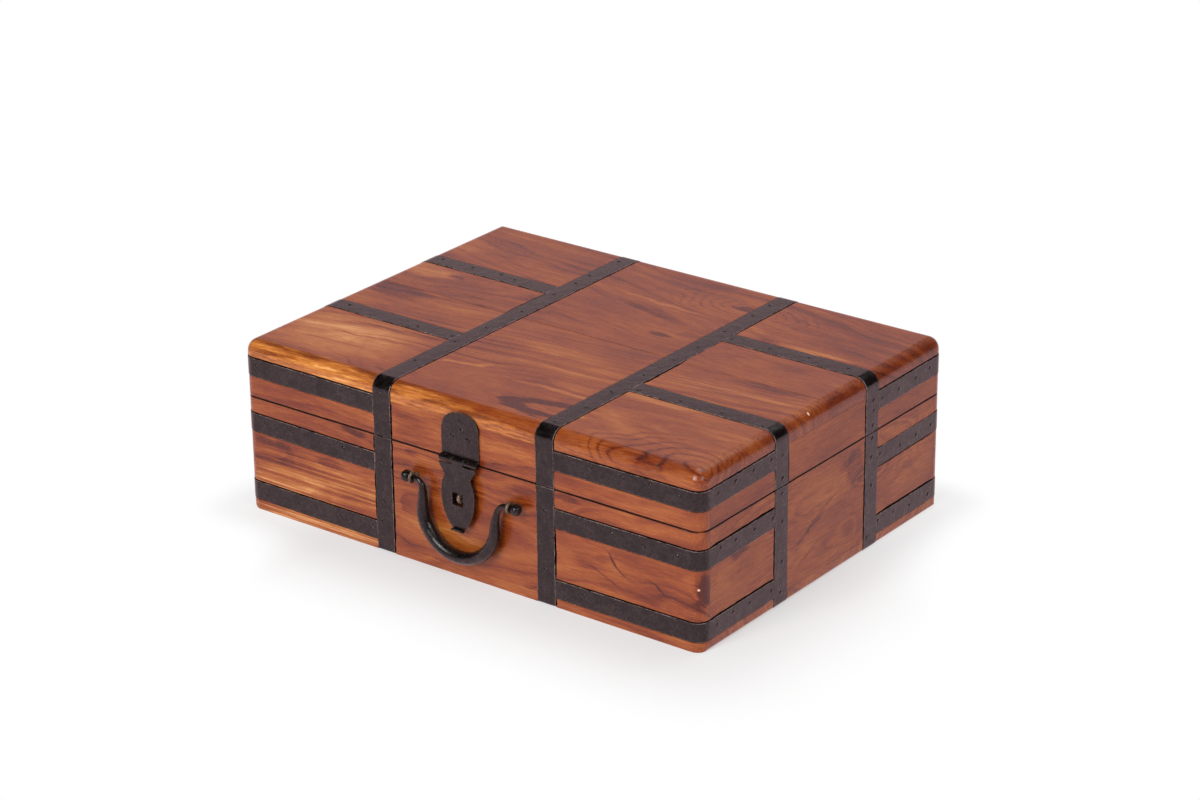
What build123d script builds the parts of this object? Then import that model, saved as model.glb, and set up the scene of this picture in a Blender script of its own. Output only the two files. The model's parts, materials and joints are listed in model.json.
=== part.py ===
from build123d import *
import os
from math import atan2, degrees

os.makedirs("parts", exist_ok=True)

# Iron-bound hardwood ditty box.
# Frame: +X to the right along the front, +Y to the back, +Z up.
# Origin: centre of the underside. All sizes are in millimetres.

# ---- Case -------------------------------------------------------------------
LENGTH = 400.0  # left to right
DEPTH = 295.0  # front to back, wood to wood
HEIGHT = 130.4
SEAM_Z = 87.9  # middle of the joint between base and lid
SEAM_GAP = 0.7
WALL = 9.5  # side boards and lid rails
FLOOR = 7.4  # floor panel, under the side boards
TOP = 14.0  # lid planks, over the lid rails
CORNER_R = 9.0  # upright corners
SHARP_CORNER_R = 3.0  # the back left one, where the two top edges meet in a mitre
EDGE_R = 9.0  # edges round the top of the lid
# Edges under the two ends. The left one was planed round and the right one only eased; the
# long edges underneath are left square.
FOOT_R = {"left": 9.0, "right": 2.5}
PLANK_GAP = 0.1  # glue line between the two lid planks

# ---- Iron straps, let into shallow grooves ----------------------------------
STRAP_T = 1.5
STRAP_PROUD = 0.3  # how far a strap stands out of the wood
STRAP_W = 15.2
BAND_W = 14.0
SNUG = (0.0, 0.0)  # no open line along either edge
LONG_GAPS = (0.45, 0.75)  # open lines left and right of a strap that runs front to back
CROSS_GAPS = (0.7, 0.45)  # open lines in front of and behind a strap that runs over an end
BAND_GAPS = (0.45, 1.0)  # open lines under and over a corner band
BUTT_GAP = 0.3  # where one strap's end meets another's edge
LONG_X = 71.2  # centre of the straps that run front to back
CROSS_Y = 55.3  # centre of the straps that run out over the ends
STRAP_FOOT_Z = 0.5  # lower end of the upright straps

# The corner bands were set by eye, so none is quite level. For each: the height of its
# middle at the corner, and how far it has climbed where it meets the strap on the long
# face and the strap on the end.
BANDS = {
    "lid_corner": {
        "front_left": (110.9, -0.1, -0.4),
        "front_right": (109.3, -0.5, 0.9),
        "back_left": (109.8, 0.4, -0.3),
        "back_right": (110.6, -0.4, -0.8),
    },
    "base_upper_corner": {
        "front_left": (68.3, -1.4, -0.8),
        "front_right": (66.9, -0.6, 1.1),
        "back_left": (66.7, -0.4, 0.5),
        "back_right": (67.5, 0.3, -1.2),
    },
    "base_lower_corner": {
        "front_left": (15.1, -0.6, 0.2),
        "front_right": (14.5, -0.8, 0.4),
        "back_left": (14.6, 0.3, -0.3),
        "back_right": (14.9, -0.3, -0.2),
    },
}

# ---- Back hinges ------------------------------------------------------------
HINGE_X = 118.0
HINGE_LENGTH = 46.0
HINGE_OUT = 3.4  # pin's centre, behind the back face
HINGE_KNUCKLE_R = 3.0
HINGE_PIN_R = 1.5
PIN_BUTTON = 0.8  # length and overhang of the button at each end of a pin
HINGE_LEAF_T = 1.5
HINGE_LEAF_IN = 7.8  # how far a leaf reaches in over the board's edge
HINGE_KNUCKLES = 5
KNUCKLE_GAP = 0.3
RUNNING = 0.05  # radial clearance of a turning knuckle on its pin
PRESS = 0.02  # radial squeeze of a fixed knuckle on its pin
SCREW_X = 14.0
SCREW_IN = 4.2  # screws' centres, in from the back face
SCREW_R = 1.3
SCREW_HEAD_R = 2.6
SCREW_HEAD_T = 1.4
SCREW_LENGTH = 11.0

# ---- Hasp -------------------------------------------------------------------
HASP_X = -0.8
HASP_W = 32.4
HASP_PLATE_T = 1.3
HASP_OUT = 2.8  # pin's centre, in front of the front face
HASP_PIN_Z = 88.6
HASP_PIN_R = 1.1
HASP_KNUCKLE_R = HASP_PIN_R + HASP_PLATE_T
HASP_PIN_END = 0.4  # how far the pin stands out at each end
HASP_SLOT = 0.3  # open line between a knuckle and the other leaf's edge
HASP_MIDDLE_KNUCKLE = 10.0
HASP_TIP = (5.0, 38.6)  # half width and height where the leaf's roll starts
HASP_ROLL_R = 1.9  # outside radius of the rolled tip
HASP_HOLE = (9.8, 9.6)
HASP_HOLE_R = 1.0
HASP_HOLE_Z = 60.7
HASP_CHEEK = 1.2  # straight part of the leaf's side, under its shoulder
RIVET_R = 1.2
RIVET_HEAD_R = 2.4
RIVET_HEAD_T = 0.6
RIVET_SHOULDER = (0.6, 0.8)  # where the head curves over, as shares of its radius and height
RIVET_SHORT = 1.0  # how far a rivet stops short of the board's inner face
RIVET_SPOTS = [(-8.0, 104.4), (0.2, 116.1), (0.9, 110.0), (6.0, 104.3)]

# The plate's round shoulders, from the left side over the crown to the right side. They
# were cut by hand and stand a little higher on the right.
HASP_CROWN = [
    (-16.2, 108.0),
    (-15.2, 114.0),
    (-12.0, 119.2),
    (-7.8, 121.9),
    (-2.5, 123.3),
    (3.0, 123.8),
    (8.0, 123.0),
    (12.8, 120.8),
    (15.6, 117.0),
    (16.2, 110.5),
]

# One side of the swinging leaf, from its waist past its belly to its tip.
HASP_SIDE = [
    (11.1, 77.4),
    (13.6, 70.6),
    (14.5, 62.4),
    (13.9, 56.0),
    (12.4, 50.4),
    (10.3, 45.7),
    (7.7, 41.8),
]
STAPLE_WIRE_R = 1.4
STAPLE_OUT = 0.3  # how far its crown stands out of the leaf
STAPLE_LEG = 2.6  # half the distance between its legs' centres

# ---- Handle -------------------------------------------------------------------
HANDLE_Z = 67.6
HANDLE_OUT = 6.5  # pivot line, in front of the front face
NECK_R = 1.8
KNOB_R = 4.3
KNOB_FLAT = 0.85  # a knob's length against its width
EYE_WIRE_R = 1.1
EYE_CLEAR = 0.3  # loose fit of the neck in its eye
TAIL_R = 1.5
CLINCH = 8.0  # length of each leg that is bent over inside

# The smith's handle sits a little right of centre and its two arms aren't alike.
HANDLE_EYES = {"left": -39.9, "right": 45.6}

# Centre line and thickness of the bar, from the middle of one knob to the middle of the
# other: (x, height above the pivot line, bar radius).
BAR = [
    (-45.0, 0.0, NECK_R),
    (-41.0, 0.0, NECK_R),
    (-37.6, 0.0, NECK_R),
    (-34.2, -0.4, 1.9),
    (-31.7, -2.8, 2.1),
    (-30.9, -7.6, 2.9),
    (-31.0, -14.9, 3.6),
    (-31.0, -22.4, 4.4),
    (-29.5, -30.0, 4.6),
    (-25.6, -36.8, 4.7),
    (-20.0, -43.0, 4.7),
    (-12.0, -47.6, 4.7),
    (-2.0, -49.6, 4.7),
    (8.0, -48.6, 4.6),
    (17.4, -44.8, 4.5),
    (25.0, -38.4, 4.5),
    (29.8, -31.2, 4.3),
    (32.0, -23.6, 3.9),
    (32.6, -16.3, 3.2),
    (34.0, -8.8, 2.4),
    (36.6, -3.2, 2.1),
    (39.8, -0.5, 1.9),
    (43.2, 0.0, NECK_R),
    (47.0, 0.0, NECK_R),
    (51.4, 0.0, NECK_R),
]

# ---- Worked out from the sizes above ----------------------------------------
BASE_TOP = SEAM_Z - SEAM_GAP / 2
LID_BOTTOM = SEAM_Z + SEAM_GAP / 2
RAIL_TOP = HEIGHT - TOP
FRONT = -DEPTH / 2
BACK = DEPTH / 2
INNER_FRONT = FRONT + WALL
STRAP_SINK = STRAP_T - STRAP_PROUD
LONG_EDGE = LONG_X + STRAP_W / 2
CROSS_EDGE = CROSS_Y + STRAP_W / 2
OUTSIDE = 5.0  # how far cutting blocks reach past the case
OVERLAP = 1.0  # how far a joined block reaches into its neighbour
SIDES = {"left": -1, "right": 1}
FACES = {"front": -1, "back": 1}


def save(name, shape):
    shape.label = name
    export_step(shape, f"parts/{name}.step")


def block(x, y, z):
    """A box between two limits along each axis, given in either order."""
    spans = [sorted(limits) for limits in (x, y, z)]
    sizes = [high - low for low, high in spans]
    middle = [(high + low) / 2 for low, high in spans]
    return Pos(*middle) * Box(*sizes)


def rod(start, direction, radius, length):
    """A round bar from a point along a direction."""
    return Plane(origin=start, z_dir=direction) * Cylinder(
        radius, length, align=(Align.CENTER, Align.CENTER, Align.MIN)
    )


# ---- The case and the skin that the straps lie in -----------------------------


def case_form(inset):
    """The outer form of the whole box, made smaller by an inset all round."""
    form = block(
        (-LENGTH / 2 + inset, LENGTH / 2 - inset),
        (FRONT + inset, BACK - inset),
        (inset, HEIGHT - inset),
    )
    uprights = form.edges().filter_by(Axis.Z).sort_by(from_back_left)
    form = fillet(uprights[1:], CORNER_R - inset)
    form = fillet(form.faces().sort_by(Axis.Z)[-1].edges(), EDGE_R - inset)
    back_left = form.edges().filter_by(Axis.Z).sort_by(from_back_left)[0]
    form = fillet(back_left, SHARP_CORNER_R - inset)
    return form & foot_form(inset)


def from_back_left(edge):
    """Grows as an upright edge lies farther from the back left corner."""
    return edge.center().X - edge.center().Y


def foot_form(inset):
    """A longer bar from front to back, whose two lower edges are rounded."""
    outline = Rectangle(LENGTH - 2 * inset, 2 * HEIGHT, align=(Align.CENTER, Align.MIN))
    for side, end in (("left", 0), ("right", -1)):
        corner = outline.vertices().group_by(Axis.Y)[0].sort_by(Axis.X)[end]
        outline = fillet(corner, FOOT_R[side] - inset)
    return extrude(Plane.XZ * Pos(0, inset) * outline, DEPTH, both=True)


def around(middle, width, gaps):
    """Both edges of a strap along one axis, with the open line beyond each."""
    return (middle - width / 2 - gaps[0], middle + width / 2 + gaps[1])


def upright_span(gaps):
    """Straps stop just above the ground, and their grooves run out under the box."""
    foot = STRAP_FOOT_Z if gaps == SNUG else -OUTSIDE
    return foot, HEIGHT + OUTSIDE


def long_zone(x_side, gaps):
    return block(
        around(x_side * LONG_X, STRAP_W, gaps),
        (FRONT - OUTSIDE, BACK + OUTSIDE),
        upright_span(gaps),
    )


def cross_zone(x_side, y_side, gaps):
    start = LONG_EDGE + BUTT_GAP if gaps == SNUG else LONG_EDGE
    return block(
        (x_side * start, x_side * (LENGTH / 2 + OUTSIDE)),
        around(y_side * CROSS_Y, STRAP_W, gaps),
        upright_span(gaps),
    )


def band_zone(level, y_name, x_name, gaps):
    """A slab that is tilted about its corner, so that each leg climbs as the band does."""
    height, long_climb, end_climb = BANDS[level][f"{y_name}_{x_name}"]
    x_side, y_side = SIDES[x_name], FACES[y_name]
    gap = BUTT_GAP if gaps == SNUG else 0.0
    x_run = LENGTH / 2 - LONG_EDGE
    y_run = DEPTH / 2 - CROSS_EDGE
    roll = degrees(atan2(y_side * -end_climb, y_run))
    pitch = degrees(atan2(x_side * long_climb, x_run))
    slab = block(
        (-x_side * (x_run - gap), x_side * OUTSIDE),
        (-y_side * (y_run - gap), y_side * OUTSIDE),
        around(0, BAND_W, gaps),
    )
    return Pos(x_side * LENGTH / 2, y_side * DEPTH / 2, height) * Rot(roll, pitch, 0) * slab


def strap_core():
    """The form that the straps lie on, run on downwards so that none turns under the floor."""
    form = case_form(STRAP_SINK)
    underside = form.faces().sort_by(Axis.Z)[0]
    return form + extrude(underside, OUTSIDE, dir=(0, 0, -1))


CASE = case_form(0)
STRAP_SKIN = case_form(-STRAP_PROUD) - strap_core()
GROOVE_SKIN = case_form(-OVERLAP) - strap_core()
LID_SPACE = block((-LENGTH, LENGTH), (-DEPTH, DEPTH), (LID_BOTTOM, 2 * HEIGHT))
BASE_SPACE = block((-LENGTH, LENGTH), (-DEPTH, DEPTH), (0, BASE_TOP))


def make_grooves():
    zones = [long_zone(x_side, LONG_GAPS) for x_side in SIDES.values()]
    for x_name, x_side in SIDES.items():
        for y_name, y_side in FACES.items():
            zones.append(cross_zone(x_side, y_side, CROSS_GAPS))
            zones += [band_zone(level, y_name, x_name, BAND_GAPS) for level in BANDS]
    return [GROOVE_SKIN & zone for zone in zones]


GROOVES = make_grooves()


def wood(x, y, z, cutters=()):
    """One board: its part of the case form, less the grooves and other cuts."""
    return (CASE & block(x, y, z)) - [*GROOVES, *cutters]


# ---- Straps -------------------------------------------------------------------


def straps():
    """Every strap and corner band, as the strap skin inside its own zone."""
    pieces = {}
    for x_name, x_side in SIDES.items():
        strap = STRAP_SKIN & long_zone(x_side, SNUG)
        pieces[f"lid_{x_name}_long_strap"] = strap & LID_SPACE
        upright = strap & BASE_SPACE
        for y_name, y_side in FACES.items():
            half = block((-LENGTH, LENGTH), (0, y_side * DEPTH), (0, HEIGHT))
            pieces[f"base_{y_name}_{x_name}_strap"] = upright & half
            cross = STRAP_SKIN & cross_zone(x_side, y_side, SNUG)
            pieces[f"lid_{x_name}_{y_name}_cross_strap"] = cross & LID_SPACE
            pieces[f"base_{x_name}_{y_name}_strap"] = cross & BASE_SPACE
            for level in BANDS:
                band = STRAP_SKIN & band_zone(level, y_name, x_name, SNUG)
                pieces[f"{level}_band_{y_name}_{x_name}"] = band
    return pieces


# ---- Back hinges --------------------------------------------------------------


def knuckle_spans(length, count):
    """Start and end of each knuckle along a hinge, from its middle."""
    pitch = length / count
    return [
        (-length / 2 + i * pitch + KNUCKLE_GAP / 2, -length / 2 + (i + 1) * pitch - KNUCKLE_GAP / 2)
        for i in range(count)
    ]


def leaf_pocket(x_mid, z):
    """The plate of one hinge leaf, which is also the shape of its mortise."""
    half = HINGE_LENGTH / 2
    return block((x_mid - half, x_mid + half), (BACK - HINGE_LEAF_IN, BACK), z)


def hinge_leaf(x_mid, z, first, bore_r):
    """A plate with every second knuckle, starting at the given one."""
    pin_y = BACK + HINGE_OUT
    leaf = leaf_pocket(x_mid, z)
    for low, high in knuckle_spans(HINGE_LENGTH, HINGE_KNUCKLES)[first::2]:
        leaf += block((x_mid + low, x_mid + high), (BACK - OVERLAP, pin_y), z)
        leaf += rod((x_mid + low, pin_y, SEAM_Z), (1, 0, 0), HINGE_KNUCKLE_R, high - low)
    start = (x_mid - HINGE_LENGTH, pin_y, SEAM_Z)
    return leaf - rod(start, (1, 0, 0), bore_r, 2 * HINGE_LENGTH)


def hinge_pin(x_mid):
    """A round pin with a low button at each end."""
    half = HINGE_LENGTH / 2
    button = PIN_BUTTON
    profile = Polyline(
        (-half - button, 0),
        (-half - button, HINGE_PIN_R),
        (-half, HINGE_PIN_R + button),
        (-half, HINGE_PIN_R),
        (half, HINGE_PIN_R),
        (half, HINGE_PIN_R + button),
        (half + button, HINGE_PIN_R),
        (half + button, 0),
        close=True,
    )
    pin = revolve(make_face(profile), Axis.X)
    return Pos(x_mid, BACK + HINGE_OUT, SEAM_Z) * pin


def leaf_screws(up):
    """Four countersunk screws, two in each hinge, driven up or down from the joint."""
    z = LID_BOTTOM if up else BASE_TOP
    head = Cone(SCREW_HEAD_R, SCREW_R, SCREW_HEAD_T, align=(Align.CENTER, Align.CENTER, Align.MIN))
    shank = Cylinder(SCREW_R, SCREW_LENGTH, align=(Align.CENTER, Align.CENTER, Align.MIN))
    screw = Rot(0 if up else 180, 0, 0) * (head + shank)
    return [
        Pos(x_side * HINGE_X + offset, BACK - SCREW_IN, z) * screw
        for x_side in SIDES.values()
        for offset in (-SCREW_X, SCREW_X)
    ]


# ---- Hasp ---------------------------------------------------------------------


def front_sketch_plane(y):
    """Looking at the front: sketch x is +X, sketch y is +Z, normal is towards -Y."""
    return Plane(origin=(0, y, 0), x_dir=(1, 0, 0), z_dir=(0, -1, 0))


def hasp_knuckles(own):
    """The chosen knuckles of the hasp's own hinge: outer pair or middle one."""
    half = HASP_W / 2
    middle = HASP_MIDDLE_KNUCKLE / 2
    spans = {
        "middle": [(-middle, middle)],
        "outer": [(-half, -middle - HASP_SLOT), (middle + HASP_SLOT, half)],
    }
    return [(HASP_X + start, HASP_X + end) for start, end in spans[own]]


def hasp_barrel(radius, start, end):
    """A round bar along the hasp's pin line, between two places."""
    return rod((start, FRONT - HASP_OUT, HASP_PIN_Z), (1, 0, 0), radius, end - start)


def hasp_plate():
    """The fixed leaf on the lid, with round shoulders and the two outer knuckles."""
    low = HASP_PIN_Z + HASP_KNUCKLE_R + HASP_SLOT
    left, right = HASP_CROWN[0], HASP_CROWN[-1]
    outline = make_face([
        Spline(*HASP_CROWN),
        Line(right, (right[0], low)),
        Line((right[0], low), (left[0], low)),
        Line((left[0], low), left),
    ])
    plate = extrude(front_sketch_plane(FRONT) * Pos(HASP_X, 0) * outline, HASP_PLATE_T)
    for start, end in hasp_knuckles("outer"):
        plate += block((start, end), (FRONT, FRONT - HASP_PLATE_T), (HASP_PIN_Z, low + OVERLAP))
        plate += hasp_barrel(HASP_KNUCKLE_R, start, end)
    bore = hasp_barrel(HASP_PIN_R - PRESS, HASP_X - HASP_W, HASP_X + HASP_W)
    return plate - [bore, *hasp_rivets()]


def hasp_rivets():
    """Four hand-set rivets, through the plate and into the front of the lid."""
    length = HASP_PLATE_T + WALL - RIVET_SHORT
    shoulder = (RIVET_HEAD_R * RIVET_SHOULDER[0], -RIVET_HEAD_T * RIVET_SHOULDER[1])
    low_dome = Polyline(
        (0, -RIVET_HEAD_T),
        shoulder,
        (RIVET_HEAD_R, 0),
        (RIVET_R, 0),
        (RIVET_R, length),
        (0, length),
        close=True,
    )
    rivet = revolve(make_face(low_dome), Axis.Y)
    return [Pos(x, FRONT - HASP_PLATE_T, z) * rivet for x, z in RIVET_SPOTS]


def hasp_leaf():
    """The swinging leaf: shoulders, waist, belly, rolled tip and a square hole."""
    face = FRONT - HASP_OUT - HASP_KNUCKLE_R
    half = HASP_W / 2 - HASP_SLOT
    shoulder = HASP_PIN_Z - HASP_KNUCKLE_R - HASP_SLOT
    cheek = (half, shoulder - HASP_CHEEK)
    tip = HASP_TIP
    side = make_face([
        Line((0, shoulder), (half, shoulder)),
        Line((half, shoulder), cheek),
        Line(cheek, HASP_SIDE[0]),
        Spline(*HASP_SIDE, tip),
        Line(tip, (0, tip[1])),
        Line((0, tip[1]), (0, shoulder)),
    ])
    outline = side + mirror(side, Plane.YZ)
    outline -= Pos(0, HASP_HOLE_Z) * RectangleRounded(*HASP_HOLE, HASP_HOLE_R)
    leaf_plane = front_sketch_plane(face + HASP_PLATE_T) * Pos(HASP_X, 0)
    leaf = extrude(leaf_plane * outline, HASP_PLATE_T)
    for start, end in hasp_knuckles("middle"):
        leaf += block((start, end), (face, face + HASP_PLATE_T), (shoulder - OVERLAP, HASP_PIN_Z))
        leaf += hasp_barrel(HASP_KNUCKLE_R, start, end)
    leaf -= hasp_barrel(HASP_PIN_R + RUNNING, HASP_X - half, HASP_X + half)
    return leaf + rolled_tip(face + HASP_PLATE_T, tip)


def rolled_tip(back, tip):
    """The leaf's lower end, rolled forward in a half turn."""
    ring = Circle(HASP_ROLL_R) - Circle(HASP_ROLL_R - HASP_PLATE_T)
    ring &= Pos(0, -HASP_ROLL_R / 2) * Rectangle(3 * HASP_ROLL_R, HASP_ROLL_R)
    roll_plane = Plane(
        origin=(HASP_X - tip[0], back - HASP_ROLL_R, tip[1]), x_dir=(0, 1, 0), z_dir=(1, 0, 0)
    )
    return extrude(roll_plane * ring, 2 * tip[0])


def hasp_pin():
    reach = HASP_W / 2 + HASP_PIN_END
    return hasp_barrel(HASP_PIN_R, HASP_X - reach, HASP_X + reach)


def hasp_staple():
    """A wire loop that stands through the leaf's hole, clinched inside the board."""
    leaf_face = FRONT - HASP_OUT - HASP_KNUCKLE_R
    crown_y = leaf_face - STAPLE_OUT + STAPLE_WIRE_R + STAPLE_LEG
    legs = INNER_FRONT + STAPLE_WIRE_R
    ring = Rot(0, 90, 0) * Torus(STAPLE_LEG, STAPLE_WIRE_R)
    reach = STAPLE_LEG + STAPLE_WIRE_R
    ring &= block((-reach, reach), (-reach, 0), (-reach, reach))
    loop = Pos(HASP_X, crown_y, HASP_HOLE_Z) * ring
    for side in (-1, 1):
        z = HASP_HOLE_Z + side * STAPLE_LEG
        loop += rod((HASP_X, crown_y, z), (0, 1, 0), STAPLE_WIRE_R, legs - crown_y)
        loop += rod((HASP_X, legs, z), (0, 0, side), STAPLE_WIRE_R, CLINCH)
        loop += Pos(HASP_X, legs, z) * Sphere(STAPLE_WIRE_R)
    return loop


# ---- Handle -------------------------------------------------------------------


def bar_sections():
    """A round section at every station of the bar, square to its centre line."""
    neighbours = zip(BAR[:1] + BAR[:-1], BAR, BAR[1:] + BAR[-1:])
    sections = []
    for before, (x, z, radius), after in neighbours:
        along = (after[0] - before[0], 0, after[1] - before[1])
        plane = Plane(origin=(x, 0, z), x_dir=(0, 1, 0), z_dir=along)
        sections.append(plane * Circle(radius))
    return sections


def handle():
    """A forged U, thick at the bottom, with thin necks turned out and knobbed ends.

    A sphere closes along a line on its +X side. The left knob is turned half round, so
    that neither neck comes out through that line.
    """
    bail = loft(bar_sections())
    knob = scale(Sphere(KNOB_R), (KNOB_FLAT, 1, 1))
    for (x, z, _), turn in ((BAR[0], 180), (BAR[-1], 0)):
        bail += Pos(x, 0, z) * Rot(0, 0, turn) * knob
    return Pos(0, FRONT - HANDLE_OUT, HANDLE_Z) * bail


def handle_eye(x):
    """A wire eye on a tail through the board, its two legs clinched inside."""
    ring_r = NECK_R + EYE_CLEAR + EYE_WIRE_R
    legs = INNER_FRONT + EYE_WIRE_R
    centre = FRONT - HANDLE_OUT
    eye = Pos(x, centre, HANDLE_Z) * Rot(0, 90, 0) * Torus(ring_r, EYE_WIRE_R)
    start = centre + ring_r
    eye += rod((x, start, HANDLE_Z), (0, 1, 0), TAIL_R, legs - start)
    for side in (-1, 1):
        eye += rod((x, legs, HANDLE_Z), (0, 0, side), EYE_WIRE_R, CLINCH + TAIL_R)
    return eye


# ---- Boards, with the cuts that their ironwork needs ----------------------------


def base_boards(cuts_front, cuts_back):
    full = (-LENGTH / 2, LENGTH / 2)
    height = (FLOOR, BASE_TOP)
    between = (FRONT + WALL, BACK - WALL)
    return {
        "base_floor": wood(full, (FRONT, BACK), (0, FLOOR)),
        "base_front_board": wood(full, (FRONT, FRONT + WALL), height, cuts_front),
        "base_back_board": wood(full, (BACK - WALL, BACK), height, cuts_back),
        "base_left_board": wood((-LENGTH / 2, -LENGTH / 2 + WALL), between, height),
        "base_right_board": wood((LENGTH / 2 - WALL, LENGTH / 2), between, height),
    }


def lid_boards(cuts_front, cuts_back):
    full = (-LENGTH / 2, LENGTH / 2)
    rails = (LID_BOTTOM, RAIL_TOP)
    planks = (RAIL_TOP, HEIGHT)
    between = (FRONT + WALL, BACK - WALL)
    return {
        "lid_front_rail": wood(full, (FRONT, FRONT + WALL), rails, cuts_front),
        "lid_back_rail": wood(full, (BACK - WALL, BACK), rails, cuts_back),
        "lid_left_rail": wood((-LENGTH / 2, -LENGTH / 2 + WALL), between, rails),
        "lid_right_rail": wood((LENGTH / 2 - WALL, LENGTH / 2), between, rails),
        "lid_top_front_plank": wood(full, (FRONT, -PLANK_GAP / 2), planks, cuts_front),
        "lid_top_back_plank": wood(full, (PLANK_GAP / 2, BACK), planks),
    }


def main():
    pieces = straps()

    base_leaf_z = (BASE_TOP - HINGE_LEAF_T, BASE_TOP)
    lid_leaf_z = (LID_BOTTOM, LID_BOTTOM + HINGE_LEAF_T)
    base_screws = leaf_screws(up=False)
    lid_screws = leaf_screws(up=True)
    base_cuts, lid_cuts = list(base_screws), list(lid_screws)
    for x_name, x_side in SIDES.items():
        x_mid = x_side * HINGE_X
        base_leaf = hinge_leaf(x_mid, base_leaf_z, 0, HINGE_PIN_R - PRESS)
        lid_leaf = hinge_leaf(x_mid, lid_leaf_z, 1, HINGE_PIN_R + RUNNING)
        pieces[f"hinge_{x_name}_base_leaf"] = base_leaf - base_screws
        pieces[f"hinge_{x_name}_lid_leaf"] = lid_leaf - lid_screws
        pieces[f"hinge_{x_name}_pin"] = hinge_pin(x_mid)
        base_cuts.append(leaf_pocket(x_mid, base_leaf_z))
        lid_cuts.append(leaf_pocket(x_mid, lid_leaf_z))
    pieces["hinge_base_screws"] = Compound(base_screws)
    pieces["hinge_lid_screws"] = Compound(lid_screws)

    rivets = hasp_rivets()
    staple = hasp_staple()
    pieces["hasp_plate"] = hasp_plate()
    pieces["hasp_rivets"] = Compound(rivets)
    pieces["hasp_leaf"] = hasp_leaf()
    pieces["hasp_pin"] = hasp_pin()
    pieces["hasp_staple"] = staple

    eyes = {x_name: handle_eye(x) for x_name, x in HANDLE_EYES.items()}
    for x_name, eye in eyes.items():
        pieces[f"handle_eye_{x_name}"] = eye
    pieces["handle"] = handle()

    pieces.update(base_boards([staple, *eyes.values()], base_cuts))
    pieces.update(lid_boards(rivets, lid_cuts))

    for name, shape in sorted(pieces.items()):
        save(name, shape)
    print(len(pieces), "nodes")


main()
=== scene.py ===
# %% [markdown]
# # An iron-bound ditty box
# A ditty box is a small lidded case for papers and keepsakes. This one is made of varnished
# hardwood boards, bound with black iron straps that are let into shallow grooves and nailed
# down. The CAD model gives every board, strap and hinge its exact place. This file adds what an
# eye sees: the figure of the wood, the worn black of the iron, the nails, and the light of a
# studio.

import json
import math
import random
from collections import namedtuple

import bmesh
import bpy
from mathutils import Matrix, Vector, noise

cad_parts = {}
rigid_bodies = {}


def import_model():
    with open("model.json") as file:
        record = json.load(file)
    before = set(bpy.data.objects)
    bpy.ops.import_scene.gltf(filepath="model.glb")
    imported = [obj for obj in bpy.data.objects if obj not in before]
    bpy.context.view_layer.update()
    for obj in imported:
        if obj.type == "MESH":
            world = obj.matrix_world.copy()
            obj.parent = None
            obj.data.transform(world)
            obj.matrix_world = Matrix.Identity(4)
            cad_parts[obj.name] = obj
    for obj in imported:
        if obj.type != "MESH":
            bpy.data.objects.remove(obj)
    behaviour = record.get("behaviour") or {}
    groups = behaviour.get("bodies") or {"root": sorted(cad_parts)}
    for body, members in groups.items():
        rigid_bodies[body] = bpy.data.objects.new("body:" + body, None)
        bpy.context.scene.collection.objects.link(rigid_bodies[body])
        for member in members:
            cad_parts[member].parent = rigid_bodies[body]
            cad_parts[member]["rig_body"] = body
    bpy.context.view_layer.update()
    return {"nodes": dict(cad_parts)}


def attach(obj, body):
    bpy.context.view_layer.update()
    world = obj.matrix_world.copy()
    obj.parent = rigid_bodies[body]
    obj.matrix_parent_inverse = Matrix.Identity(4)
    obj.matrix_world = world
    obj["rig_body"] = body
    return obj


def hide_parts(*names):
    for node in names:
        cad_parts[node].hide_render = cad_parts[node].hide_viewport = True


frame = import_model()
nodes = frame["nodes"]

# %% [markdown]
# ## Units and colours
# Blender works in metres and a cabinet maker thinks in millimetres, so one constant turns
# lengths over. Colours are written as on a paint chart, from 0 to 255, and a shader wants them
# as linear light. The curve between the two is a fixed standard, so one short function holds it.

# %% Millimetres and paint-chart colours
MM = 0.001
WHITE = (1, 1, 1, 1)


def linear(red, green, blue):
    """A chart colour as linear light."""
    def one(value):
        value /= 255
        return value / 12.92 if value <= 0.04045 else ((value + 0.055) / 1.055) ** 2.4
    return (one(red), one(green), one(blue), 1.0)


print("mid grey is", [round(v, 3) for v in linear(128, 128, 128)])

# %% [markdown]
# ## The camera
# A long lens from a standing height looks down at the near corner, so the front, the right end
# and the lid all show. The camera aims at a point inside the box and is then turned a little
# about its own line of sight, as a camera held by hand is. An aim point is easier to set than
# three angles.

# %% Place the camera
CAMERA_AT = (1367.552, -1788.748, 1044.405)
CAMERA_AIM = (8.7225, -3.4288, 85.3349)
CAMERA_ROLL = -0.61307  # degrees
LENS = 102.978  # focal length in millimetres, on a sensor as wide as a film frame
SENSOR = 36
SEES_TO = 100  # metres, past the edge of the floor

lens = bpy.data.cameras.new("long_lens")
lens.lens = LENS
lens.sensor_width = SENSOR
lens.clip_end = SEES_TO
camera = bpy.data.objects.new("camera", lens)
bpy.context.scene.collection.objects.link(camera)
place = Vector(CAMERA_AT) * MM
sight = Vector(CAMERA_AIM) * MM - place
roll = Matrix.Rotation(math.radians(CAMERA_ROLL), 3, "Z")
facing = sight.to_track_quat("-Z", "Y").to_matrix() @ roll
camera.matrix_world = Matrix.Translation(place) @ facing.to_4x4()
bpy.context.scene.camera = camera
print("camera stands", round(sight.length, 3), "m from the middle of the box")

# %% [markdown]
# ## Arithmetic on sockets
# A finish is a graph of nodes, and a graph is easier to read as formulas. A Signal wraps one
# output socket and gives it the ordinary operators, and a Finish adds any kind of node with one
# method. The nodes could be placed one by one, but then the sums would be hard to see.

# %% Signals


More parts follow.
